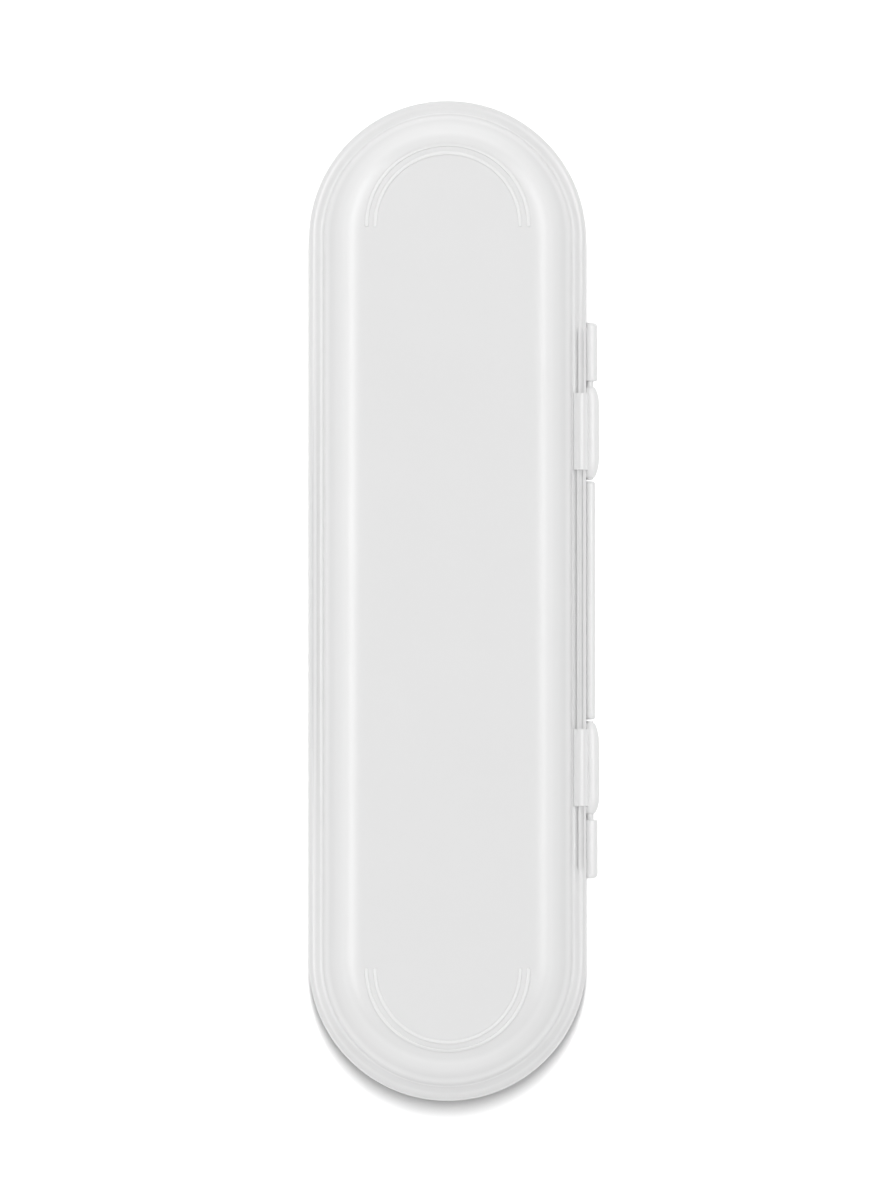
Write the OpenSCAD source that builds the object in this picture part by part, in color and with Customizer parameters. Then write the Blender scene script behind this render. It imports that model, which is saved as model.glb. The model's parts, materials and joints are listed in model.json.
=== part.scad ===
// Travel cutlery case: a slim stadium-shaped box of frosted polypropylene, in millimetres.
// It lies on its base, length along Y, hinge on the +X side, and z = 0 is the outside of the base.
// Seen from the opening side, the +Y end is the left one and the -Y end is the right one.
// The real case is two mouldings. Each moulded feature is a solid of its own, set face to face
// on the shell that it is moulded with.

/* [Shell] */
// Length of the closed case
shell_len = 220; // [160:1:260]
// Width of the closed case, without the hinge
shell_w = 61; // [50:1:80]
// Height of the parting line above the outside of the base
base_depth = 14; // [12:0.5:24]
// Height of the lid's flat face above the parting line
lid_depth = 14; // [12:0.5:24]
// Thickness of the side walls, the skirt and the tongue
wall_t = 1.3; // [1:0.1:2]
// Thickness of the flat faces of the base and the lid
face_t = 1.3; // [1:0.1:2.5]
// Radius of the round edge between the side wall and the flat face
edge_r = 9.5; // [4:0.5:9.5]

/* [Rim] */
// Height of the rim band on the base and on the lid
rim_h = 4.5; // [4:0.1:6]
// How far the lid's rim band stands out from its dome
lid_rim_w = 3.2; // [2.5:0.1:5]
// Radius of the round shoulder of the lid's rim band
lid_rim_r = 1.6; // [0.5:0.1:1.8]
// Radius of the small rounds on the base's rim band and on the straps
rim_edge_r = 0.5; // [0.2:0.1:0.8]
// Gap between the base's flange and the lid's skirt when the case is shut
seat_gap = 0.2; // [0.1:0.1:0.4]
// Clearance between pieces of the lid and the base that pass each other
fit_gap = 0.3; // [0.2:0.05:0.5]

/* [Front snap] */
// Length of the snap ridge and the snap lip
snap_len = 40; // [10:1:80]
// Radius of their rounded section
snap_r = 0.6; // [0.4:0.1:0.8]
// How far each stands out from its wall
snap_out = 0.12; // [0.05:0.01:0.13]
// Height of the lip's middle above the parting line
snap_lip_z = 0.8; // [0.6:0.1:1]
// Distance from the middle of the lip up to the middle of the ridge
snap_rise = 1.1; // [0.9:0.1:1.4]

/* [End ribs] */
// Radius of the inner ring arc, to the middle of the rib
rib_r = 15.9; // [8:0.05:17]
// Distance between the inner and the outer arc
rib_pitch = 1.85; // [1.2:0.05:3]
// Width of a rib
rib_w = 0.8; // [0.4:0.1:1.2]
// Height of a rib above the lid's face, which it follows over the round edge
rib_h = 0.25; // [0.2:0.05:0.6]
// How far the arcs' centre lies beyond the centre of the shell's round end
rib_shift = 2.25; // [0:0.25:3]

/* [Hinge] */
// Distance of the hinge axis outside the shell's long side
axis_out = 0.7; // [0.5:0.05:1.2]
// Radius of the hinge pins
pin_r = 0.9; // [0.8:0.05:1.2]
// Radial clearance of a pin in its hook
pin_clearance = 0.06; // [0.02:0.01:0.1]
// Gap between a pin's free end and the middle bar
pin_end_gap = 0.4; // [0.3:0.1:1]
// Length of the middle bar
bar_len = 52.4; // [20:0.2:60]
// Radius of the middle bar
bar_r = 1.3; // [1:0.1:2]
// Radius of the round on the bar's ends
bar_end_r = 0.6; // [0.2:0.1:0.8]
// Length of an end lug
lug_len = 12.9; // [6:0.1:16]
// Radius of an end lug
lug_r = 1.8; // [1.3:0.1:2.4]
// Radius of the round on a lug's outer end
lug_end_r = 1; // [0.2:0.1:1.2]
// Radius of the round on a lug's end next to the pin
lug_pin_end_r = 0.4; // [0.2:0.1:0.8]
// How far the webs of the lugs and the bar reach down the flange below the axis
web_drop = 3; // [2.5:0.1:3.2]

/* [Hooks] */
// Length of a hook
hook_len = 19.8; // [8:0.1:24]
// Outer radius of a hook
hook_r = 2.2; // [1.9:0.1:2.6]
// Thickness left at a hook's tapered ends
hook_tip_t = 0.3; // [0.2:0.05:0.6]
// Length of the taper on the side of the middle bar
taper_bar = 4.6; // [1:0.1:6]
// Length of the taper on the side of the lug
taper_lug = 3.7; // [1:0.1:6]
// Side play between the middle bar and a hook
play_bar = 0.9; // [0.5:0.1:2]
// Side play between a hook and its lug
play_lug = 1.4; // [0.5:0.1:2]
// Distance from the axis to the tip of the hook's lower jaw, on the case's side
jaw_in = 0.5; // [0.3:0.05:0.55]
// Length of the strap that joins a hook to the lid
strap_len = 16.9; // [6:0.1:20]
// Thickness of the strap on the outside of the skirt
strap_t = 0.8; // [0.6:0.05:1.2]
// Thickness of the strap on top of the rim band
strap_top_t = 0.4; // [0.2:0.05:0.8]
// How far the strap reaches in over the rim band
strap_in = 2.8; // [1:0.1:2.9]
// How far above the hook the strap starts to widen into it
strap_blend = 0.4; // [0.2:0.05:0.5]

/* [Stiffening rib] */
// Length of the rib under the flange on the hinge side
stiffener_len = 119.8; // [60:0.2:130]
// Thickness of that rib
stiffener_t = 0.6; // [0.4:0.1:0.9]
// Height of that rib
stiffener_h = 2; // [1:0.1:4]
// How far that rib lies in from the flange's outer face
stiffener_in = 0.6; // [0.5:0.05:0.8]

/* [Hidden] */
base_tint = [0.87, 0.88, 0.88];
lid_tint = [0.91, 0.92, 0.92];
$fn = 96;
end_r = shell_w / 2;
end_y = shell_len / 2 - end_r;
lid_top = base_depth + lid_depth;
// The tongue stands inside the skirt, and the base's wall runs straight up into it
tongue_in = wall_t + fit_gap;
flange_top = base_depth - seat_gap / 2;
skirt_foot = base_depth + seat_gap / 2;
rim_top = base_depth + rim_h;
rim_foot = base_depth - rim_h;
tongue_top = rim_top - face_t - fit_gap;
base_half = end_r - tongue_in;
lid_half = end_r - lid_rim_w;
// The axis lies at half the closed height, so that the open lid lies level with the base
axis_x = end_r + axis_out;
axis_z = (lid_top + rib_h) / 2;
bore_r = pin_r + pin_clearance;
bar_end = bar_len / 2;
hook_start = bar_end + play_bar;
hook_mid = hook_start + hook_len / 2;
lug_start = hook_start + hook_len + play_lug;
pin_start = bar_end + pin_end_gap;
rib_y = end_y + rib_shift;
// Longer than anything that is cut away
big = 2 * (shell_len + lid_top);
// How far the slanted faces of the webs and straps run in under the round they meet
sunk_in = 0.1;
// Where a line from the point (px, pz) touches a circle round the axis, on the side away from the case
function touch(px, pz, r) =
    let (d2 = px * px + pz * pz, a = r * r / d2, b = r * sqrt(d2 - r * r) / d2 * sign(pz))
    [a * px + b * pz, a * pz - b * px];

// A quarter disc whose round corner points to +x and -y, with its square corner at the given point
module round_corner(x, y, r) {
    translate([x, y]) intersection() {
        circle(r = r);
        translate([0, -r]) square(r);
    }
}

// A tub's or a rim band's section from the middle line outwards: face at z = 0, round edge, straight wall
module tub_section(half_w, depth, r) {
    square([half_w - r, depth]);
    translate([0, r]) square([half_w, depth - r]);
    round_corner(half_w - r, r, r);
}

// Runs a half section round the whole stadium outline
module round_the_case() {
    rotate([90, 0, 0]) linear_extrude(height = 2 * end_y, center = true) {
        children();
        mirror([1, 0]) children();
    }
    for (side = [0, 1])
        mirror([0, side, 0]) translate([0, end_y, 0]) rotate_extrude(angle = 180) children();
}

// Turns a half section upside down, so that its z = 0 comes to the given height
module hung_from(height) {
    translate([0, height]) mirror([0, 1]) children();
}

// A round bar along the hinge axis from y = 0, with its own radius of round at each end
module barrel(r, len, start_r, stop_r) {
    rotate([-90, 0, 0]) rotate_extrude() {
        translate([0, start_r]) square([r, len - start_r - stop_r]);
        square([r - start_r, start_r]);
        round_corner(r - start_r, start_r, start_r);
        translate([0, len - stop_r]) square([r - stop_r, stop_r]);
        translate([0, len]) mirror([0, 1]) round_corner(r - stop_r, stop_r, stop_r);
    }
}

// Extrudes a section drawn round the hinge axis, x outwards and y upwards, from y = 0 to len
module along_axis(len) {
    translate([0, len, 0]) rotate([90, 0, 0]) linear_extrude(height = len) children();
}

// A straight cylinder on the hinge axis, from y0 to y1
module axis_cut(r, y0, y1) {
    translate([axis_x, y1, axis_z]) rotate([90, 0, 0]) cylinder(r = r, h = y1 - y0);
}

// A barrel beside the flange with a web that carries it, from y = 0 to len
module carried_barrel(r, len, start_r, stop_r) {
    foot = touch(-axis_out, -web_drop, r - sunk_in);
    difference() {
        barrel(r, len, start_r, stop_r);
        translate([-axis_out - big, -big / 2, -big / 2]) cube(big);
    }
    translate([0, start_r, 0]) along_axis(len - start_r - stop_r)
        polygon([[-axis_out, flange_top - axis_z], [0, 0], foot, [-axis_out, -web_drop]]);
}

module base_shell() color(base_tint) difference() {
    round_the_case() difference() {
        union() {
            tub_section(base_half, tongue_top, edge_r);
            translate([0, rim_foot]) tub_section(end_r, flange_top - rim_foot, rim_edge_r);
        }
        translate([0, face_t]) tub_section(base_half - wall_t, tongue_top, edge_r - wall_t);
    }
    for (side = [0, 1])
        mirror([0, side, 0]) axis_cut(hook_r + fit_gap, bar_end, lug_start);
}

module lid_shell() color(lid_tint) difference() {
    round_the_case() difference() {
        union() {
            hung_from(lid_top) tub_section(lid_half, lid_top - skirt_foot, edge_r);
            hung_from(rim_top) tub_section(end_r, rim_top - skirt_foot, lid_rim_r);
        }
        hung_from(lid_top - face_t) tub_section(lid_half - wall_t, lid_depth, edge_r - wall_t);
        square([end_r - wall_t, rim_top - face_t]);
    }
    axis_cut(bar_r + fit_gap, -bar_end - fit_gap, bar_end + fit_gap);
    for (side = [0, 1]) mirror([0, side, 0]) {
        axis_cut(pin_r + fit_gap, bar_end, lug_start);
        axis_cut(lug_r + fit_gap, lug_start - fit_gap, lug_start + lug_len + fit_gap);
    }
}

// An end lug on the +Y side
module hinge_lug() color(base_tint)
    translate([axis_x, lug_start, axis_z]) carried_barrel(lug_r, lug_len, lug_pin_end_r, lug_end_r);

module hinge_bar() color(base_tint)
    translate([axis_x, -bar_end, axis_z]) carried_barrel(bar_r, bar_len, bar_end_r, bar_end_r);

// A pin on the +Y side, from its lug to just short of the bar
module hinge_pin() color(base_tint) axis_cut(pin_r, pin_start, lug_start);

module hinge_stiffener() color(base_tint)
    translate([end_r - stiffener_in - stiffener_t, -stiffener_len / 2, rim_foot - stiffener_h])
        cube([stiffener_t, stiffener_len, stiffener_h]);

// A long low bead on the front side, standing out by snap_out from the plane at the given x
module bead(plane_x, height, outwards)
    translate([plane_x, -snap_len / 2, height]) along_axis(snap_len) mirror([outwards ? 1 : 0, 0])
        intersection() {
            translate([snap_out - snap_r, 0]) circle(r = snap_r);
            translate([0, -snap_r]) square([snap_r, 2 * snap_r]);
        }

module snap_ridge() color(base_tint) bead(-base_half, base_depth + snap_lip_z + snap_rise, true);

module snap_lip() color(lid_tint) bead(wall_t - end_r, base_depth + snap_lip_z, false);

// The half section of a hook's convex taper, thin at y = 0 and full at y = len
module hook_taper(len) {
    rise = hook_r - bore_r - hook_tip_t;
    bow_r = (len * len + rise * rise) / (2 * rise);
    intersection() {
        translate([hook_r - bow_r, len]) circle(r = bow_r);
        square([hook_r, len]);
    }
}

// A hook's round body, from y = 0 to hook_len
module hook_body() rotate([-90, 0, 0]) rotate_extrude() {
    translate([0, taper_bar]) square([hook_r, hook_len - taper_bar - taper_lug]);
    hook_taper(taper_bar);
    translate([0, hook_len]) mirror([0, 1]) hook_taper(taper_lug);
}

// The strap's section: over the rim band, down the outside of the skirt and into the hook
module strap_section() {
    top = rim_top - axis_z;
    widen = [strap_t - axis_out, hook_r + strap_blend];
    translate([-axis_out - strap_in, top]) square([strap_in + strap_t - rim_edge_r, strap_top_t]);
    translate([-axis_out, 0]) square([strap_t, top + strap_top_t - rim_edge_r]);
    translate([strap_t - axis_out - rim_edge_r, top + strap_top_t - rim_edge_r]) circle(r = rim_edge_r);
    translate([-axis_out - lid_rim_r, top - lid_rim_r]) square(lid_rim_r + strap_top_t / 2);
    polygon([
        [-axis_out, 0], [0, 0], touch(widen[0], widen[1], hook_r - sunk_in), widen, [-axis_out, widen[1]]
    ]);
}

// A hook on the +Y side: it clips over its pin, and its mouth faces the case
module hinge_hook() color(lid_tint) translate([axis_x, 0, axis_z]) {
    // The mouth reaches up to where the skirt is cut clear of the pin
    mouth_top = sqrt(pow(pin_r + fit_gap, 2) - axis_out * axis_out);
    difference() {
        union() {
            difference() {
                translate([0, hook_start, 0]) hook_body();
                translate([-axis_out - big, -big / 2, -big / 2]) cube(big);
            }
            translate([0, hook_mid - strap_len / 2, 0]) along_axis(strap_len) difference() {
                strap_section();
                // The skirt with its round shoulder
                hung_from(rim_top - axis_z) translate([-axis_x, 0]) tub_section(end_r, rim_h, lid_rim_r);
            }
        }
        translate([0, -big / 2, 0]) rotate([-90, 0, 0]) cylinder(r = bore_r, h = big);
        translate([-axis_out - big, -big / 2, mouth_top - big]) cube([axis_out - jaw_in + big, big, big]);
    }
}

// A ring-arc rib on the +Y end of the lid's face, with round feet, as high everywhere above that face
module end_rib(r) color(lid_tint) difference() {
    intersection() {
        translate([0, rib_y, lid_top - edge_r]) {
            rotate_extrude(angle = 180) translate([r - rib_w / 2, 0]) square([rib_w, edge_r + 2 * rib_h]);
            for (x = [-r, r]) translate([x, 0, 0]) cylinder(d = rib_w, h = edge_r + 2 * rib_h);
        }
        round_the_case() hung_from(lid_top + rib_h) tub_section(lid_half + rib_h, lid_depth, edge_r + rib_h);
    }
    round_the_case() hung_from(lid_top) tub_section(lid_half, lid_depth, edge_r);
}

module left_hinge_lug() hinge_lug();
module right_hinge_lug() mirror([0, 1, 0]) hinge_lug();
module left_hinge_pin() hinge_pin();
module right_hinge_pin() mirror([0, 1, 0]) hinge_pin();
module left_hinge_hook() hinge_hook();
module right_hinge_hook() mirror([0, 1, 0]) hinge_hook();
module left_outer_rib() end_rib(rib_r + rib_pitch);
module left_inner_rib() end_rib(rib_r);
module right_outer_rib() mirror([0, 1, 0]) end_rib(rib_r + rib_pitch);
module right_inner_rib() mirror([0, 1, 0]) end_rib(rib_r);

base_shell();
left_hinge_lug();
right_hinge_lug();
hinge_bar();
left_hinge_pin();
right_hinge_pin();
hinge_stiffener();
snap_ridge();
lid_shell();
snap_lip();
left_hinge_hook();
right_hinge_hook();
left_outer_rib();
left_inner_rib();
right_outer_rib();
right_inner_rib();
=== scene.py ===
import json
import math

import bmesh
import bpy
from mathutils import Matrix, Vector


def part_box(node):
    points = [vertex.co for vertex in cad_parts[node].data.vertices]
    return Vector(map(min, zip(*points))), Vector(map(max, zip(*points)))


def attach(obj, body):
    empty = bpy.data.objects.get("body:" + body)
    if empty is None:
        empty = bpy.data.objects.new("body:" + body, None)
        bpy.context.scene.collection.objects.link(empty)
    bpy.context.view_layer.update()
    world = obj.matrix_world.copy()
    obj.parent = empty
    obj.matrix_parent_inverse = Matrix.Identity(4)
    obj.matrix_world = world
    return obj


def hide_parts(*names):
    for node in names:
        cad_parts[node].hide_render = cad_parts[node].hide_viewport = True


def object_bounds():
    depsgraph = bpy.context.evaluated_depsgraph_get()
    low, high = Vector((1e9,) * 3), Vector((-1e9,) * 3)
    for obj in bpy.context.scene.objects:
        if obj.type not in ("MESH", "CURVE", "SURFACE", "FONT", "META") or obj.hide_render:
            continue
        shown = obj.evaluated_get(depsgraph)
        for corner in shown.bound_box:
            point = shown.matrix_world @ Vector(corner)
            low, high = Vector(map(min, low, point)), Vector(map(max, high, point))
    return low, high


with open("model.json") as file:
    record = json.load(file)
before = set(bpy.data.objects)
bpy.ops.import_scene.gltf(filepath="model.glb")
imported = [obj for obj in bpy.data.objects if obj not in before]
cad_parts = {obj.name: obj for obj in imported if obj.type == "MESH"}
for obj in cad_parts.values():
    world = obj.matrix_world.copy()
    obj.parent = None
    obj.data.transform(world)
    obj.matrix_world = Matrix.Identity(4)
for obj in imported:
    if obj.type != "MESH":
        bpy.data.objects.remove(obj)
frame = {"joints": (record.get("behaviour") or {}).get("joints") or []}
cad_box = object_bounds()


# The base's tub: a floor with a large round edge, a flange that meets the lid's skirt, and a tongue
# that stands up inside the skirt. It is natural polypropylene, moulded in a tool with a fine
# spark-eroded grain: its skin is satin, and it lets light through but blurs what is behind.
def linear(hex_colour):
    """The linear colour, with alpha 1, of an sRGB hex value."""
    parts = [int(hex_colour[i:i + 2], 16) / 255 for i in (1, 3, 5)]
    return (*[c / 12.92 if c <= 0.04045 else ((c + 0.055) / 1.055) ** 2.4 for c in parts], 1)


def add(tree, kind, inputs=None, **settings):
    """Adds a node. inputs gives a socket a value, another node's output, or a list of outputs."""
    made = tree.nodes.new(kind)
    for name, value in settings.items():
        setattr(made, name, value)
    for socket, value in (inputs or {}).items():
        for source in value if isinstance(value, list) else [value]:
            if isinstance(source, bpy.types.NodeSocket):
                tree.links.new(source, made.inputs[socket])
            else:
                made.inputs[socket].default_value = source
    return made


MM = 0.001
base_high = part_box("base_shell")[1] / MM
lid_low, lid_high = (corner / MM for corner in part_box("lid_shell"))
end_r = base_high.x              # the radius of the case's round ends
end_y = base_high.y - end_r      # their centres, from the middle of the case's length
edge_r = 9.5                     # the large round edge of both shells
rim_top = lid_high.z - edge_r    # the rim band's face, and the centre of the lid's round edge
grain_size = 0.35 * MM           # the real grain is about 0.1 mm; drawn coarser, so that it shows
cloud_size = 30 * MM             # faint clouds in the tint and the gloss
painted_shade_grey = linear("#E6E6E6")
colour_a, colour_b, mixed = 6, 7, 2      # the colour sockets of a Mix node, and its result
frosted = bpy.data.materials.new("frosted_polypropylene")
frosted.use_nodes = True
tree = frosted.node_tree
shader = tree.nodes["Principled BSDF"]
coords = add(tree, "ShaderNodeTexCoord")
place = coords.outputs["Object"]
grain = add(tree, "ShaderNodeTexNoise", {"Vector": place, "Scale": 1 / grain_size, "Detail": 2.0})
clouds = add(tree, "ShaderNodeTexNoise", {"Vector": place, "Scale": 1 / cloud_size, "Detail": 3.0})
# The tint goes by the distance from the middle line of the case, which is worked out first. It is partly the
# plastic looking whiter where it is thick or lies double,
# and partly painted light and shade: the dome's round edge, its foot and the rim band are painted lighter
# where they lie in shade, the rim's shoulder gets painted highlight lines and a painted darker line, and the
# hinge gets painted highlights.
axes = add(tree, "ShaderNodeSeparateXYZ", {0: place})
along = add(tree, "ShaderNodeMath", {0: axes.outputs["Y"]}, operation="ABSOLUTE").outputs[0]
past = add(tree, "ShaderNodeMath", {0: along, 1: end_y * MM}, operation="SUBTRACT").outputs[0]
past = add(tree, "ShaderNodeMath", {0: past, 1: 0.0}, operation="MAXIMUM").outputs[0]
flat = add(tree, "ShaderNodeCombineXYZ", {"X": axes.outputs["X"], "Y": past}).outputs[0]
outwards = add(tree, "ShaderNodeVectorMath", {0: flat}, operation="LENGTH").outputs["Value"]
ramp_start, ramp_end = 20.0, 33.0
share = add(tree, "ShaderNodeMapRange", {
    "Value": outwards, "From Min": ramp_start * MM, "From Max": ramp_end * MM}).outputs[0]
thickness_and_painted_light = add(tree, "ShaderNodeValToRGB", {"Fac": share})
tints_and_painted_light = {
    20.5: "#E9E9E9", 21.8: "#EAEAEA", 22.8: "#F2F2F2", 24.4: "#F4F4F4",      # the dome's round edge
    25.7: "#EFEFEF", 26.6: "#FDFDFD", 27.4: "#FFFFFF",                       # its foot
    28.1: "#F6F6F6", 28.7: "#F4F4F4",                                        # the rim band
    29.2: "#FDFDFD", 29.7: "#EAEAEA", 30.3: "#F6F6F6",                       # the rim's shoulder
    30.7: "#FFFFFF", 31.4: "#FFFFFF", 32.2: "#F8F8F8",                       # the hinge
}
marks = thickness_and_painted_light.color_ramp.elements
for mark in list(marks)[1:]:
    marks.remove(mark)
for count, (u, colour) in enumerate(tints_and_painted_light.items()):
    spot = (u - ramp_start) / (ramp_end - ramp_start)
    mark = marks[0] if count == 0 else marks.new(spot)
    mark.position = spot
    mark.color = linear(colour)
# Round the ends the rim band is painted greyer than along the sides, as painted shade.
band_in, band_out = 27.2, 27.7
turned_in = add(tree, "ShaderNodeMath", {0: past, 1: outwards}, operation="DIVIDE").outputs[0]
turned_in = add(tree, "ShaderNodeMath", {0: turned_in, 1: 2.0}, operation="POWER").outputs[0]
band = add(tree, "ShaderNodeMapRange", {
    "Value": outwards, "From Min": band_in * MM, "From Max": band_out * MM, "To Max": 0.8})
band = add(tree, "ShaderNodeMath", {0: band.outputs[0], 1: turned_in}, operation="MULTIPLY").outputs[0]
end_shaded = add(tree, "ShaderNodeMix", data_type="RGBA", inputs={
    "Factor": band, colour_a: thickness_and_painted_light.outputs[0], colour_b: painted_shade_grey})
# Walls that stand upright are painted greyer, as painted shade where less light falls on them.
upright = add(tree, "ShaderNodeSeparateXYZ", {0: coords.outputs["Normal"]}).outputs["Z"]
upright = add(tree, "ShaderNodeMath", {0: upright}, operation="ABSOLUTE").outputs[0]
upright_shade = add(tree, "ShaderNodeMapRange", {
    "Value": upright, "From Max": 0.85, "To Min": 1.0, "To Max": 0.0}).outputs[0]
shaded = add(tree, "ShaderNodeMix", data_type="RGBA", blend_type="MULTIPLY", inputs={
    "Factor": upright_shade, colour_a: end_shaded.outputs[mixed], colour_b: painted_shade_grey})
# The hooks' straps lie over the rim band, and the ribs over the lid's top; both are painted lighter there:
# painted light on the straps, which the dome shades, and a painted highlight on the ribs.
strap_in, strap_out = 27.45, 27.6
strap_low, strap_high = rim_top + 0.1, rim_top + 0.2
rib_low, rib_high = lid_high.z + 0.01, lid_high.z + 0.04
above = add(tree, "ShaderNodeMapRange", {
    "Value": axes.outputs["Z"], "From Min": strap_low * MM, "From Max": strap_high * MM}).outputs[0]
outside = add(tree, "ShaderNodeMapRange", {
    "Value": outwards, "From Min": strap_in * MM, "From Max": strap_out * MM}).outputs[0]
painted_strap_light = add(tree, "ShaderNodeMath", {0: above, 1: outside}, operation="MULTIPLY").outputs[0]
painted_rib_highlight = add(tree, "ShaderNodeMapRange", {
    "Value": axes.outputs["Z"], "From Min": rib_low * MM, "From Max": rib_high * MM}).outputs[0]
with_painted_light = add(tree, "ShaderNodeMix", data_type="RGBA", inputs={
    "Factor": painted_strap_light, colour_a: shaded.outputs[mixed], colour_b: linear("#F8F8F8")})
with_painted_light = add(tree, "ShaderNodeMix", data_type="RGBA", inputs={
    "Factor": painted_rib_highlight, colour_a: with_painted_light.outputs[mixed], colour_b: linear("#F2F2F2")})
tint = add(tree, "ShaderNodeMix", data_type="RGBA", blend_type="MULTIPLY", inputs={
    "Factor": clouds.outputs[0], colour_a: with_painted_light.outputs[mixed], colour_b: linear("#FBFBFB")})
satin = add(tree, "ShaderNodeMapRange", {"Value": clouds.outputs[0], "To Min": 0.33, "To Max": 0.39})
skin = add(tree, "ShaderNodeBump", {"Height": grain.outputs[0], "Strength": 0.15, "Distance": 0.02 * MM})
tree.links.new(tint.outputs[mixed], shader.inputs["Base Color"])
tree.links.new(satin.outputs[0], shader.inputs["Roughness"])
tree.links.new(skin.outputs[0], shader.inputs["Normal"])
shader.inputs["IOR"].default_value = 1.49
shader.inputs["Specular IOR Level"].default_value = 1.0
shader.inputs["Transmission Weight"].default_value = 0.1


def arc(across, up, radius, start, stop, steps):
    """Points along a round, from the start angle to the stop angle in degrees."""
    angles = [math.radians(start + (stop - start) * i / steps) for i in range(steps + 1)]
    return [(across + radius * math.cos(a), up + radius * math.sin(a)) for a in angles]


def face_outwards(piece):
    """Merges a mesh's doubles and turns its faces outwards."""
    cleaned = bmesh.new()
    cleaned.from_mesh(piece.data)
    bmesh.ops.remove_doubles(cleaned, verts=cleaned.verts, dist=0.001 * MM)
    bmesh.ops.recalc_face_normals(cleaned, faces=cleaned.faces)
    cleaned.to_mesh(piece.data)
    cleaned.free()


def solid(name, points, faces=(), edges=()):
    """A mesh object of points in millimetres, with doubles merged and its faces turned outwards."""
    mesh = bpy.data.meshes.new(name)
    mesh.from_pydata([[c * MM for c in point] for point in points], edges, faces)
    made = bpy.data.objects.new(name, mesh)
    bpy.context.collection.objects.link(made)
    face_outwards(made)
    return made


def polyline(name, points):
    """A mesh object that is one open line through the points."""
    return solid(name, points, edges=[(i, i + 1) for i in range(len(points) - 1)])


def new_tree(name, sizes):
    """A geometry-nodes tree with inputs for a line, the named sizes and a material, and those inputs."""
    tree = bpy.data.node_groups.new(name, "GeometryNodeTree")
    tree.interface.new_socket("Result", in_out="OUTPUT", socket_type="NodeSocketGeometry")
    for label, kind in {"Line": "Geometry", **sizes, "Material": "Material"}.items():
        tree.interface.new_socket(label, in_out="INPUT", socket_type="NodeSocket" + kind)
    return tree, add(tree, "NodeGroupInput").outputs


def end_tree(tree, geometry, material):
    """Ends a tree in Realize Instances and Set Material."""
    real = add(tree, "GeometryNodeRealizeInstances", {"Geometry": geometry}).outputs[0]
    done = add(tree, "GeometryNodeSetMaterial", {"Geometry": real, "Material": material}).outputs[0]
    add(tree, "NodeGroupOutput", {"Result": done})


def grown(line, tree, sizes):
    """Turns a line into the plain mesh that a tree makes of it, with the sizes set by name."""
    modifier = line.modifiers.new(tree.name, "NODES")
    modifier.node_group = tree
    ids = {item.name: item.identifier for item in tree.interface.items_tree if item.in_out == "INPUT"}
    for name, value in {**sizes, "Material": frosted}.items():
        modifier[ids[name]] = value
    mesh = bpy.data.meshes.new_from_object(line.evaluated_get(bpy.context.evaluated_depsgraph_get()))
    line.modifiers.remove(modifier)
    line.data = mesh
    face_outwards(line)
    return line


weld = 0.005 * MM
shell_tree, given = new_tree("swept_shell", {
    "Path radius": "Float", "Half straight": "Float", "Outer face": "Float", "Inner face": "Float",
    "Corner steps": "Int"})
width = add(shell_tree, "ShaderNodeMath", {0: given["Path radius"], 1: 2.0}, operation="MULTIPLY").outputs[0]
length = add(shell_tree, "ShaderNodeMath", operation="MULTIPLY_ADD", inputs={
    0: given["Half straight"], 1: 2.0, 2: width}).outputs[0]
oblong = add(shell_tree, "GeometryNodeCurvePrimitiveQuadrilateral", {"Width": width, "Height": length})
stadium = add(shell_tree, "GeometryNodeFilletCurve", mode="POLY", inputs={
    "Curve": oblong.outputs[0], "Count": given["Corner steps"], "Radius": given["Path radius"],
    "Limit Radius": True}).outputs[0]
# The rounds meet at both ends, where the doubled point is merged.
loop = add(shell_tree, "GeometryNodeCurveToMesh", {"Curve": stadium}).outputs[0]
loop = add(shell_tree, "GeometryNodeMergeByDistance", {"Geometry": loop, "Distance": weld}).outputs[0]
path = add(shell_tree, "GeometryNodeMeshToCurve", {"Mesh": loop}).outputs[0]
section = add(shell_tree, "GeometryNodeMeshToCurve", {"Mesh": given["Line"]}).outputs[0]
wall = add(shell_tree, "GeometryNodeCurveToMesh", {"Curve": path, "Profile Curve": section}).outputs[0]
plate = add(shell_tree, "GeometryNodeFillCurve", {"Curve": path}, mode="NGONS").outputs[0]
parts = [wall]
for face in ("Outer face", "Inner face"):
    lift = add(shell_tree, "ShaderNodeCombineXYZ", {"Z": given[face]}).outputs[0]
    moved = add(shell_tree, "GeometryNodeTransform", {"Geometry": plate, "Translation": lift})
    parts.append(moved.outputs[0])
closed = add(shell_tree, "GeometryNodeJoinGeometry", {0: parts}).outputs[0]
closed = add(shell_tree, "GeometryNodeMergeByDistance", {"Geometry": closed, "Distance": weld}).outputs[0]
end_tree(shell_tree, closed, given["Material"])


def swept_shell(name, outline):
    """A closed shell with this section, (distance from the middle line, height), all round the case."""
    line = polyline(name, [(u - path_radius, -z, 0) for u, z in outline])
    return grown(line, shell_tree, {
        "Path radius": path_radius * MM, "Half straight": end_y * MM, "Outer face": outline[0][1] * MM,
        "Inner face": outline[-1][1] * MM, "Corner steps": 32})


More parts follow.
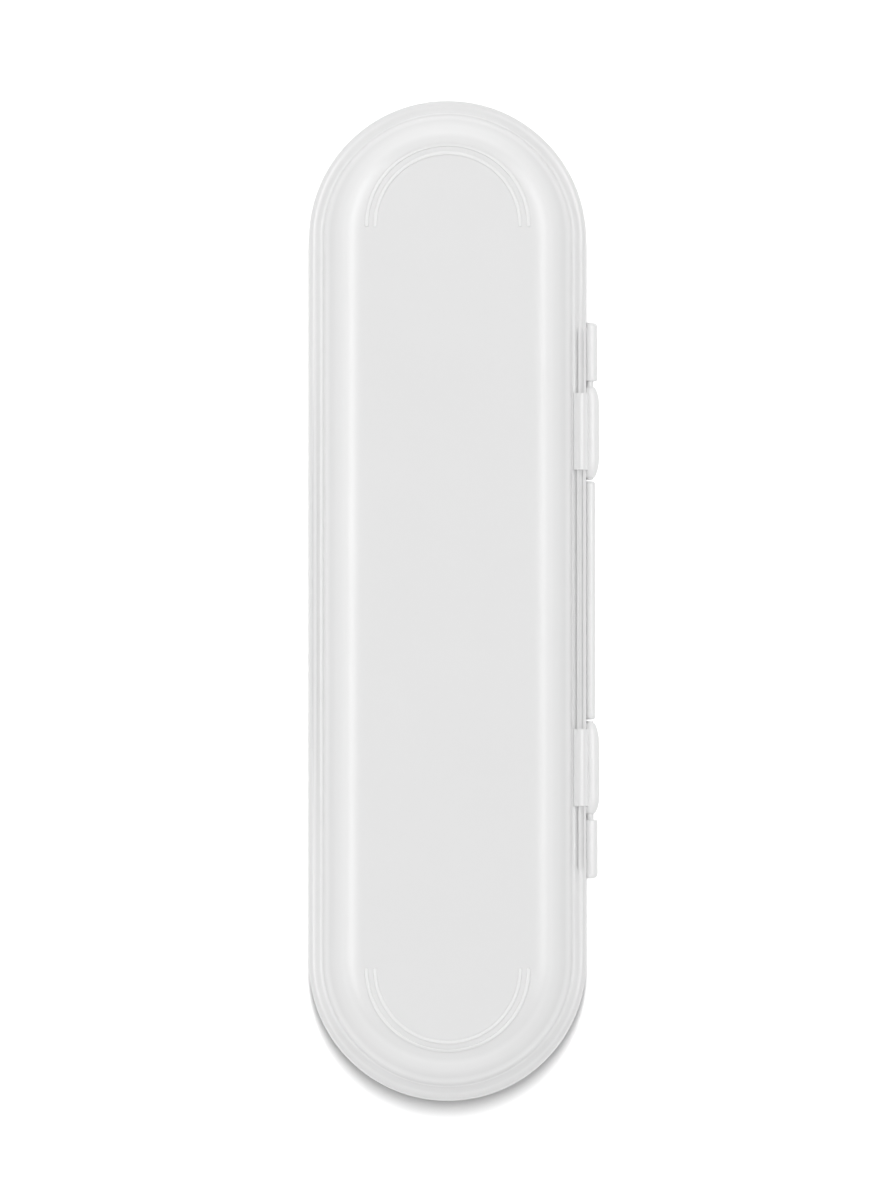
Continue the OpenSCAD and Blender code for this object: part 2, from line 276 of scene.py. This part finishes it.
path_radius = 14.0       # flat plates close the two faces up to here, and the section is swept from here
wall_t = 1.3
fit_gap = 0.3
edge_round = 0.5
tip_round = 0.3
flange_foot = 9.5
flange_top = 13.9
tongue_u = end_r - wall_t - fit_gap
floor_u = tongue_u - edge_r
base = swept_shell("base_tub", [
    (path_radius, 0.0),
    *arc(floor_u, edge_r, edge_r, -90, 0, 20),
    *arc(end_r - edge_round, flange_foot + edge_round, edge_round, -90, 0, 5),
    *arc(end_r - tip_round, flange_top - tip_round, tip_round, 0, 90, 4),
    *arc(tongue_u + tip_round, flange_top + tip_round, tip_round, 270, 180, 4),
    *arc(tongue_u - tip_round, base_high.z - tip_round, tip_round, 0, 90, 4),
    *arc(tongue_u - wall_t + tip_round, base_high.z - tip_round, tip_round, 90, 180, 4),
    *arc(floor_u, edge_r, edge_r - wall_t, 0, -90, 20),
    (path_radius, wall_t),
])


# The base's half of the hinge: two end lugs and a long middle bar, each on a web that runs into
# the flange, and two pins that stand out of the lugs towards the bar. They are moulded in one
# with the tub, so they run in under its skin, and the tub is grooved where the hooks turn.
def turned(name, outline, steps=48):
    """A solid turned round the hinge axis from (place along the case, radius) points."""
    points = []
    for y, r in outline:
        for step in range(steps):
            turn = 2 * math.pi * step / steps
            points.append((axis_x + r * math.cos(turn), y, axis_z + r * math.sin(turn)))
    faces = [(row * steps + i, row * steps + (i + 1) % steps, (row + 1) * steps + (i + 1) % steps,
              (row + 1) * steps + i) for row in range(len(outline) - 1) for i in range(steps)]
    return solid(name, points, faces)


def prism(name, near, far):
    """A prism between two outlines with as many points each."""
    count = len(near)
    sides = [(i, (i + 1) % count, count + (i + 1) % count, count + i) for i in range(count)]
    return solid(name, near + far, [tuple(range(count)), tuple(range(count, 2 * count)), *sides])


def extruded(name, outline, start, stop):
    """A prism along the case, with (x, z) points round its section."""
    return prism(name, *[[(x, y, z) for x, z in outline] for y in (start, stop)])


def block(low, high):
    """A box between two corners."""
    outline = [(low[0], low[2]), (high[0], low[2]), (high[0], high[2]), (low[0], high[2])]
    return extruded("block", outline, low[1], high[1])


def rod(r, start, stop):
    """A plain cylinder on the hinge axis, between two places in either order."""
    start, stop = sorted((start, stop))
    return turned("rod", [(start, 0), (start, r), (stop, r), (stop, 0)], 64)


def barrel(r, start, stop, start_round, stop_round):
    """A round bar on the hinge axis with rounded ends."""
    return turned("barrel", [(start, 0), *arc(start + start_round, r - start_round, start_round, 180, 90, 5),
                             *arc(stop - stop_round, r - stop_round, stop_round, 90, 0, 5), (stop, 0)])


def combined(first, others, operation="UNION"):
    """Joins the other solids to the first one, or cuts them from it, and deletes them."""
    for other in others:
        change = first.modifiers.new(other.name, "BOOLEAN")
        change.operation = operation
        change.solver = "MANIFOLD"
        change.object = other
    mesh = bpy.data.meshes.new_from_object(first.evaluated_get(bpy.context.evaluated_depsgraph_get()))
    first.modifiers.clear()
    first.data = mesh
    for other in others:
        bpy.data.objects.remove(other)
    return first


def mirrored(piece):
    """A copy at the other end of the case."""
    made = bpy.data.objects.new("mirrored", piece.data.copy())
    made.data.transform(Matrix.Scale(-1, 4, (0, 1, 0)))
    bpy.context.collection.objects.link(made)
    face_outwards(made)
    return made


def touch(x, z, r):
    """Where a line from (x, z) touches a circle round the hinge axis, on the side away from the case."""
    far = x * x + z * z
    a, b = r * r / far, r * math.sqrt(far - r * r) / far * math.copysign(1, z)
    return axis_x + a * x + b * z, axis_z + a * z - b * x


def carried_barrel(r, start, stop, start_round, stop_round):
    """A barrel beside the flange, with the web that carries it."""
    made = barrel(r, start, stop, start_round, stop_round)
    inside = block((end_r - edge_r, start - clear, 0), (end_r - sunk / 2, stop + clear, base_high.z))
    combined(made, [inside], "DIFFERENCE")
    touching = touch(end_r - axis_x, -web_drop, r - sunk / 2)
    web = [(end_r - sunk, flange_top), (axis_x, flange_top + sunk), touching,
           (end_r, axis_z - web_drop), (end_r - sunk, axis_z - web_drop)]
    return combined(made, [extruded("web", web, start + start_round, stop - stop_round)])


def dress(piece, name, body, *nodes):
    """Gives a piece its name, its skin with edges over 28 degrees left sharp, and its place in the frame."""
    piece.name = name
    piece.data.materials.clear()
    piece.data.materials.append(frosted)
    piece.data.shade_smooth()
    piece.data.set_sharp_from_angle(angle=math.radians(28))
    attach(piece, body)
    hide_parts(*nodes)


axis_x, _, axis_z = (value / MM for value in frame["joints"][0]["pos_m"])
sunk = 0.2               # how far a joined solid runs in under the surface that it stands on
clear = 1.0              # how far a cutter reaches past what it cuts
web_drop = 3.0           # how far a web reaches below the axis
bar_r = 1.3
bar_round = 0.6
lug_r = 1.8
lug_in_round = 0.4       # the lug's end towards the bar, and its outer end
lug_out_round = 1.0
hook_r = 2.2
pin_r = 0.9
pin_round = 0.15
pin_root = 1.0           # how far a pin runs in under the face of its lug
bar_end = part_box("hinge_bar")[1].y / MM
lug_start, lug_end = (corner.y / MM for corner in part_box("left_hinge_lug"))
pin_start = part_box("left_hinge_pin")[0].y / MM
lug = carried_barrel(lug_r, lug_start, lug_end, lug_in_round, lug_out_round)
combined(lug, [barrel(pin_r, pin_start, lug_start + pin_root, pin_round, pin_round)])
bar = carried_barrel(bar_r, -bar_end, bar_end, bar_round, bar_round)
grooves = [rod(hook_r + fit_gap, side * bar_end, side * lug_start) for side in (1, -1)]
combined(base, grooves, "DIFFERENCE")
dress(mirrored(lug), "right_lug", "base", "right_hinge_lug", "right_hinge_pin")
dress(lug, "left_lug", "base", "left_hinge_lug", "left_hinge_pin")
dress(bar, "middle_bar", "base", "hinge_bar")


# The base's small features: a stiffening rib under the flange on the hinge side, and a low
# bead on the front of the tongue that the lid snaps over. Both are moulded in one with the tub.
def bead(plane_x, height, side):
    """A long low bead on the front that stands out of the plane at the given x, to the side 1 or -1."""
    middle = plane_x - side * (bead_r - bead_out)
    spread = math.degrees(math.acos((bead_r - bead_out - sunk) / bead_r))
    facing = 0 if side > 0 else 180
    return extruded("bead", arc(middle, height, bead_r, facing - spread, facing + spread, 12),
                    -bead_half, bead_half)


bead_r = 0.6
bead_out = 0.12
bead_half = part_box("snap_ridge")[1].y / MM
ridge_z, lip_z = ((low.z + high.z) / 2 / MM for low, high in (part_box("snap_ridge"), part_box("snap_lip")))
stiffener_low, stiffener_high = (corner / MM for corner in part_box("hinge_stiffener"))
combined(base, [block(stiffener_low, stiffener_high + Vector((0, 0, sunk))), bead(-tongue_u, ridge_z, -1)])
dress(base, "base_tub", "base", "base_shell", "hinge_stiffener", "snap_ridge")


# The lid: a dome with a flat top, a rim band with a round shoulder all round its foot, and a skirt
# that closes over the tongue. It is moulded like the base, its skirt is cut clear of the base's
# lugs, pins and bar, and two fine channels run along the rim band on the hinge side and the front.
rim_w = 3.2
dome_half = end_r - rim_w
dome_u = dome_half - edge_r
shoulder_r = 1.6
foot_r = 0.9             # the hollow round between the rim band and the dome
foot_u = dome_u + math.sqrt((edge_r + foot_r) ** 2 - foot_r ** 2)
foot_turn = math.degrees(math.asin(foot_r / (edge_r + foot_r)))
skirt_in = end_r - wall_t
ledge = rim_top - wall_t
lid = swept_shell("lid_dome", [
    (path_radius, lid_high.z),
    *arc(dome_u, rim_top, edge_r, 90, foot_turn, 20),
    *arc(foot_u, rim_top + foot_r, foot_r, 180 + foot_turn, 270, 6),
    *arc(end_r - shoulder_r, rim_top - shoulder_r, shoulder_r, 90, 0, 10),
    *arc(end_r - tip_round, lid_low.z + tip_round, tip_round, 0, -90, 4),
    *arc(skirt_in + tip_round, lid_low.z + tip_round, tip_round, -90, -180, 4),
    *arc(skirt_in - tip_round, ledge - tip_round, tip_round, 0, 90, 4),
    *arc(dome_half - wall_t + tip_round, ledge + tip_round, tip_round, 270, 180, 4),
    *arc(dome_u, rim_top, edge_r - wall_t, 0, 90, 20),
    (path_radius, lid_high.z - wall_t),
])
cuts = [rod(bar_r + fit_gap, -bar_end - fit_gap, bar_end + fit_gap)]
for side in (1, -1):
    cuts.append(rod(pin_r + fit_gap, side * bar_end, side * lug_start))
    cuts.append(rod(lug_r + fit_gap, side * (lug_start - fit_gap), side * (lug_end + fit_gap)))
square_end = 0.001       # the run of a channel's floor that ends square


def channel(low_x, high_x, depth, start, stop, start_run=square_end, stop_run=square_end):
    """A cutter for a channel in the rim band. At each end its floor rises over the given run."""
    floor_z = rim_top - depth
    outline = [(start - start_run, rim_top), (start, floor_z), (stop, floor_z), (stop + stop_run, rim_top),
               (stop + stop_run, rim_top + clear), (start - start_run, rim_top + clear)]
    return prism("channel", *[[(x, y, z) for y, z in outline] for x in (low_x, high_x)])


hook_low, hook_high = (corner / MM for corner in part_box("left_hinge_hook"))
strap_half = 8.45
strap_start, strap_end = ((hook_low.y + hook_high.y) / 2 + side * strap_half for side in (-1, 1))
channel_deep = 0.5
channel_end = 58.5       # the floors beside the lugs start to rise here, over the length of run_out
run_out = 1.8
front_half = 20
front_run = 40
# Beside the bar, then beside the hinge's ends, then along the front, with x from the case's middle.
for low_x, high_x in ((27.6, 28.45), (28.9, 29.75)):
    cuts.append(channel(low_x, high_x, channel_deep, -strap_start, strap_start))
for low_x, high_x in ((28.05, 28.75), (29.2, 29.9)):
    cuts += [channel(low_x, high_x, channel_deep, strap_end, channel_end, stop_run=run_out),
             channel(low_x, high_x, channel_deep, -channel_end, -strap_end, start_run=run_out)]
for low_x, high_x, depth in ((-28.6, -28.0, 0.15), (-29.8, -29.2, 0.3)):
    cuts.append(channel(low_x, high_x, depth, -front_half, front_half, front_run, front_run))
combined(lid, cuts, "DIFFERENCE")
combined(lid, [bead(-skirt_in, lip_z, 1)])


# The two hooks: round bodies with long tapers to both ends, bored for the pins and open towards
# the case, each on a strap that runs up the skirt and over the rim band. Moulded with the lid.
def taper(length, steps=12):
    """(distance from the thin end, radius) points of a convex taper."""
    rise = hook_r - tip_r
    bow_r = (length * length + rise * rise) / (2 * rise)
    ups = [length * i / steps for i in range(steps + 1)]
    return [(up, hook_r - bow_r + math.sqrt(bow_r ** 2 - (length - up) ** 2)) for up in ups]


bore_r = pin_r + 0.06
tip_r = bore_r + 0.3
bar_taper = 4.6          # the taper towards the bar, and the one towards the lug
lug_taper = 3.7
strap_round = 0.15
strap_root = 1.2         # how far in from the skirt's face the strap's foot lies
mouth_in = 0.5           # the mouth ends this far short of the axis, inside the bore
hook = turned("hook", [(hook_low.y, 0), *[(hook_low.y + up, r) for up, r in taper(bar_taper)],
                       *[(hook_high.y - up, r) for up, r in reversed(taper(lug_taper))],
                       (hook_high.y, 0)], 64)
inside = block((end_r - edge_r, hook_low.y - clear, 0), (end_r - sunk, hook_high.y + clear, lid_high.z))
combined(hook, [inside], "DIFFERENCE")
strap = extruded("strap", [
    (hook_low.x, rim_top - sunk),
    *arc(hook_low.x + strap_round, hook_high.z - strap_round, strap_round, 180, 90, 3),
    *arc(end_r - shoulder_r, rim_top - shoulder_r, shoulder_r + hook_high.z - rim_top, 90, 0, 10),
    (end_r + hook_high.z - rim_top, axis_z), (end_r - sunk, axis_z), (end_r - sunk, rim_top - shoulder_r),
    (end_r - strap_root, rim_top - 2 * sunk),
], strap_start, strap_end)
combined(hook, [strap])
bore = rod(bore_r, hook_low.y - clear, hook_high.y + clear)
mouth_top = axis_z + math.sqrt((pin_r + fit_gap) ** 2 - (axis_x - end_r) ** 2)
mouth = block((end_r - edge_r, hook_low.y - clear, 0), (axis_x - mouth_in, hook_high.y + clear, mouth_top))
combined(hook, [bore, mouth], "DIFFERENCE")
dress(mirrored(hook), "right_hook", "lid", "right_hinge_hook")
dress(hook, "left_hook", "lid", "left_hinge_hook")


# The ring-arc ribs on both ends of the lid's top: two to an end, low and round-edged, with rounded
# ends. They are moulded with the lid, and follow its face over the round edge.
rib_tree, given = new_tree("end_ribs", {"Width": "Float", "Height": "Float", "Round": "Float"})
section = add(rib_tree, "GeometryNodeCurvePrimitiveQuadrilateral", {
    "Width": given["Width"], "Height": given["Height"]}).outputs[0]
section = add(rib_tree, "GeometryNodeFilletCurve", mode="POLY", inputs={
    "Curve": section, "Count": 4, "Radius": given["Round"]}).outputs[0]
path = add(rib_tree, "GeometryNodeMeshToCurve", {"Mesh": given["Line"]}).outputs[0]
swell = add(rib_tree, "GeometryNodeInputNamedAttribute", {"Name": "swell"}, data_type="FLOAT").outputs[0]
lean = add(rib_tree, "GeometryNodeInputNamedAttribute", {"Name": "lean"}, data_type="FLOAT").outputs[0]
path = add(rib_tree, "GeometryNodeSetCurveTilt", {"Curve": path, "Tilt": lean}).outputs[0]
rib = add(rib_tree, "GeometryNodeCurveToMesh", {
    "Curve": path, "Profile Curve": section, "Scale": swell, "Fill Caps": True}).outputs[0]
other = add(rib_tree, "GeometryNodeTransform", {"Geometry": rib, "Rotation": (0, 0, math.pi)}).outputs[0]
both = add(rib_tree, "GeometryNodeJoinGeometry", {0: [rib, other]}).outputs[0]
end_tree(rib_tree, both, given["Material"])


def ribs(r, steps=60):
    """The rib with this radius at both ends of the case."""
    # A station is a distance along the rib and the share of its full section there.
    tip = rib_w / 2
    ends = [(tip * (1 - math.cos(a)), max(math.sin(a), 0.1)) for a in
            [math.radians(15 * i) for i in range(7)]]
    stations = [(-tip + d, swell) for d, swell in ends[:-1]]
    stations += [(math.pi * r * i / steps, 1) for i in range(steps + 1)]
    stations += [(math.pi * r + tip - d, swell) for d, swell in reversed(ends[:-1])]
    points, leans = [], []
    for d, _ in stations:
        across, up = math.cos(d / r), math.sin(d / r)
        x, y = r * across, rib_y + r * up
        far = math.hypot(x, y - end_y)
        past = max(far - dome_u, 0)
        rise = math.sqrt(edge_r ** 2 - past ** 2)
        points.append((x, y, rim_top + rise))
        leans.append(math.atan2(past * (x * across + (y - end_y) * up) / far, rise))
    line = polyline("ribs", points)
    for name, values in (("swell", [swell for _, swell in stations]), ("lean", leans)):
        line.data.attributes.new(name, "FLOAT", "POINT").data.foreach_set("value", values)
    return grown(line, rib_tree, {"Width": rib_w * MM, "Height": 2 * rib_h * MM, "Round": rib_round * MM})


rib_w = 0.8
rib_h = cad_box[1].z / MM - lid_high.z
rib_round = 0.2
rib_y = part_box("left_outer_rib")[0].y / MM + rib_w / 2
outer_r, inner_r = ((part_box(name)[1].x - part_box(name)[0].x) / MM / 2 - rib_w / 2
                    for name in ("left_outer_rib", "left_inner_rib"))
combined(lid, [ribs(outer_r), ribs(inner_r)])
dress(lid, "lid_dome", "lid", "lid_shell", "snap_lip", "left_outer_rib", "left_inner_rib", "right_outer_rib",
      "right_inner_rib")


# The table: a wide sheet of matt white paper. It lies a hair below the case, so that their faces
# aren't in one plane, and rays that come through the plastic see it evenly white.
reach = 3.0
drop = -0.05 * MM
sheet = bpy.data.meshes.new("table")
sheet.from_pydata([(x * reach, y * reach, drop) for x, y in ((-1, -1), (1, -1), (1, 1), (-1, 1))],
                  [], [(0, 1, 2, 3)])
table = bpy.data.objects.new("table", sheet)
bpy.context.collection.objects.link(table)
paper = bpy.data.materials.new("white_paper")
paper.use_nodes = True
tree = paper.node_tree
tree.nodes.clear()
rays = add(tree, "ShaderNodeLightPath")
matt = add(tree, "ShaderNodeBsdfDiffuse", {"Color": linear("#F4F4F4")})
white = add(tree, "ShaderNodeEmission", {"Color": linear("#FFFFFF"), "Strength": 0.9})
through = add(tree, "ShaderNodeMixShader", {
    0: rays.outputs["Is Transmission Ray"], 1: matt.outputs[0], 2: white.outputs[0]})
add(tree, "ShaderNodeOutputMaterial", {"Surface": through.outputs[0]})
sheet.materials.append(paper)

# The light: a white room that looks brighter than it lights, softboxes all round that light the
# case alone, and a strip overhead that lights the table alone and leans towards the left end.
world = bpy.data.worlds.new("room")
bpy.context.scene.world = world
world.use_nodes = True
tree = world.node_tree
tree.nodes.clear()
rays = add(tree, "ShaderNodeLightPath")
room = add(tree, "ShaderNodeBackground", {"Color": linear("#FFFFFF"), "Strength": 0.36})
sky = add(tree, "ShaderNodeBackground", {"Color": linear("#FFFFFF"), "Strength": 1.0})
seen = add(tree, "ShaderNodeMath", operation="MAXIMUM", inputs={
    0: rays.outputs["Is Camera Ray"], 1: rays.outputs["Is Glossy Ray"]}).outputs[0]
seen = add(tree, "ShaderNodeMath", operation="MAXIMUM", inputs={
    0: seen, 1: rays.outputs["Is Transmission Ray"]}).outputs[0]
shown = add(tree, "ShaderNodeMixShader", {0: seen, 1: room.outputs[0], 2: sky.outputs[0]})
add(tree, "ShaderNodeOutputWorld", {"Surface": shown.outputs[0]})


def lamp(name, place, width, length, power):
    """A rectangular lamp at a place, aimed at the case, with its length along the case."""
    light = bpy.data.lights.new(name, "AREA")
    light.shape = "RECTANGLE"
    light.size = width
    light.size_y = length
    light.energy = power
    made = bpy.data.objects.new(name, light)
    bpy.context.collection.objects.link(made)
    back = Vector(place).normalized()
    across = Vector((0, 1, 0)).cross(back).normalized()
    along = back.cross(across)
    made.matrix_world = Matrix.Translation(place) @ Matrix((across, along, back)).transposed().to_4x4()
    return made


def group(name, *members):
    """A collection of its own, for light linking."""
    made = bpy.data.collections.new(name)
    for member in members:
        made.objects.link(member)
    return made


softboxes = [
    lamp("left_softbox", (-0.9, 0.3, 1.05), 0.4, 1.3, 7.6),
    lamp("right_softbox", (0.9, 0.3, 1.05), 0.4, 1.3, 6.7),
    lamp("back_softbox", (0, 1.1, 0.6), 0.8, 0.5, 2.7),
    lamp("front_softbox", (0, -1.1, 0.75), 1.2, 0.9, 5.2),
]
for softbox in softboxes[2:]:
    softbox.visible_glossy = False
strip = lamp("table_strip", (0, 0.29, 3.0), 0.15, 0.8, 86)
without_table = group("without_table", table)
without_table.collection_objects[0].light_linking.link_state = "EXCLUDE"
for softbox in softboxes:
    softbox.light_linking.receiver_collection = without_table
strip.light_linking.receiver_collection = group("table_only", table)
strip.light_linking.blocker_collection = group("shells", base, lid)

# The camera: far away behind a long lens, because the photo shows hardly any perspective. It looks
# down at the lid from a little towards the right end.
tilt = math.radians(3.0)
far = 4.4
aim = Vector((0.0001, 0.0001, 0.014))
lens = bpy.data.cameras.new("camera")
lens.lens = 600
camera = bpy.data.objects.new("camera", lens)
bpy.context.collection.objects.link(camera)
camera.location = aim + far * Vector((0, -math.sin(tilt), math.cos(tilt)))
camera.rotation_euler = (tilt, 0, 0)
bpy.context.scene.camera = camera
bpy.context.scene.view_settings.view_transform = "Standard"
